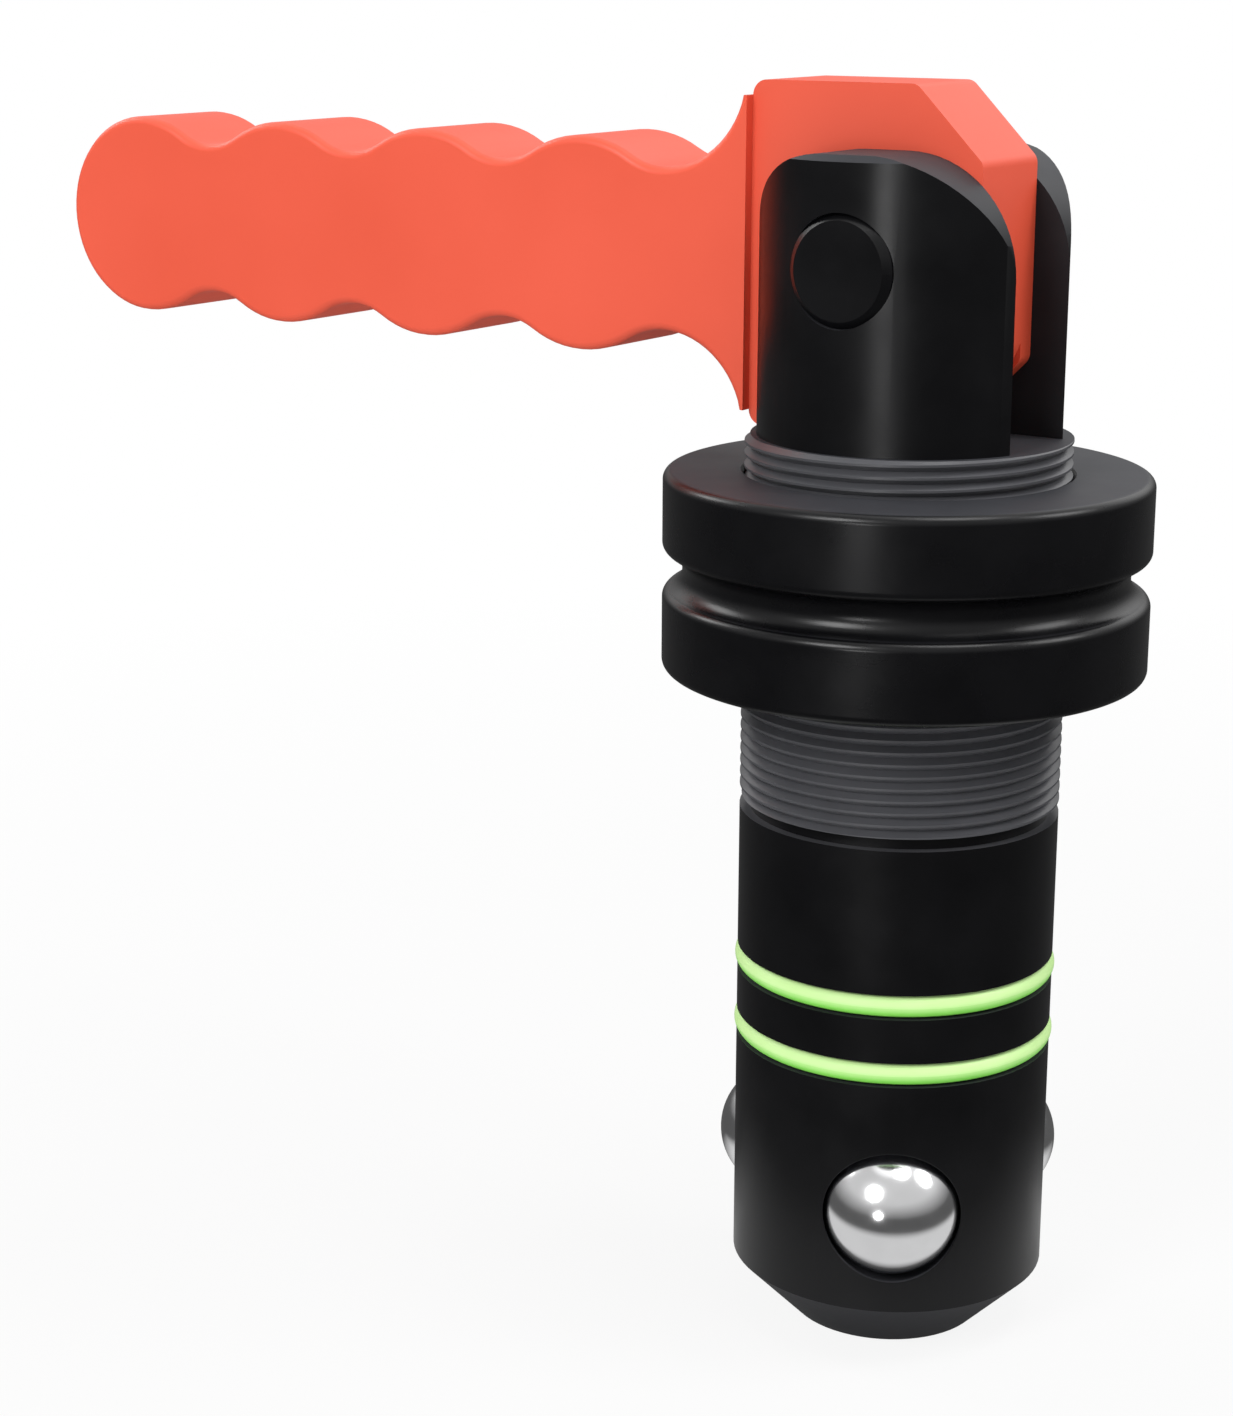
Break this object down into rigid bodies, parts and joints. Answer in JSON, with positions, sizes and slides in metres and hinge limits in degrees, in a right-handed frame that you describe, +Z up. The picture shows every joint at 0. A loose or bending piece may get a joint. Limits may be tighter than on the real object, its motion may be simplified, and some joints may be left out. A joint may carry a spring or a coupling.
{
  "type": "quick-release clamping bolt",
  "caption": "Clamping bolt with a finger-grip cam lever in a fork, a grooved ring nut on a fine thread and a shank whose balls spread under the workpiece.",
  "frame": {"origin": "middle of the flat tip, on the bolt's axis", "axes": "+Z up the bolt, -X along the lever, Y along the pivot pin"},
  "size_m": [0.1127, 0.042, 0.11],
  "materials": {
    "black_steel": "satin black oxide on turned steel",
    "pin_steel": "satin black oxide on ground steel",
    "lever_coat": "orange-red powder coat on cast aluminium",
    "bright_steel": "ground steel",
    "spring_steel": "drawn spring wire",
    "ball_steel": "polished ball-bearing steel",
    "green_rubber": "light green elastomer, matt"
  },
  "bodies": {
    "bolt": {"bolt_body": "black_steel", "pivot_pin": "pin_steel", "end_plug": "pin_steel", "return_spring": "spring_steel", "upper_seal": "green_rubber", "lower_seal": "green_rubber"},
    "nut": {"ring_nut": "black_steel"},
    "lever_arm": {"lever": "lever_coat"},
    "rod": {"push_rod": "bright_steel"},
    "ball_front": {"front_ball": "ball_steel"},
    "ball_right": {"right_ball": "ball_steel"},
    "ball_left": {"left_ball": "ball_steel"}
  },
  "joints": [
    {"name": "lever_pivot", "type": "hinge", "parent": "bolt", "child": "lever_arm", "pos_m": [0, 0, 0.09545], "axis": [0, 1, 0], "range_deg": [0, 90]},
    {"name": "rod_slide", "type": "slide", "parent": "bolt", "child": "rod", "axis": [0, 0, 1], "range_m": [0, 0.0059], "deforming": ["return_spring"]},
    {"name": "front_ball_slide", "type": "slide", "parent": "bolt", "child": "ball_front", "axis": [-0.5, 0.866, 0], "range_m": [0, 0.00305]},
    {"name": "right_ball_slide", "type": "slide", "parent": "bolt", "child": "ball_right", "axis": [-0.5, -0.866, 0], "range_m": [0, 0.00305]},
    {"name": "left_ball_slide", "type": "slide", "parent": "bolt", "child": "ball_left", "axis": [1, 0, 0], "range_m": [0, 0.00305]},
    {"name": "nut_slide", "type": "slide", "parent": "bolt", "child": "nut", "axis": [0, 0, 1], "range_m": [-0.011, 0.003]}
  ],
  "couplings": [
    {"joint": "rod_slide", "follows": "lever_pivot", "m_per_rad": 0.0037561},
    {"joint": "front_ball_slide", "follows": "lever_pivot", "m_per_rad": 0.0019417},
    {"joint": "right_ball_slide", "follows": "lever_pivot", "m_per_rad": 0.0019417},
    {"joint": "left_ball_slide", "follows": "lever_pivot", "m_per_rad": 0.0019417}
  ]
}
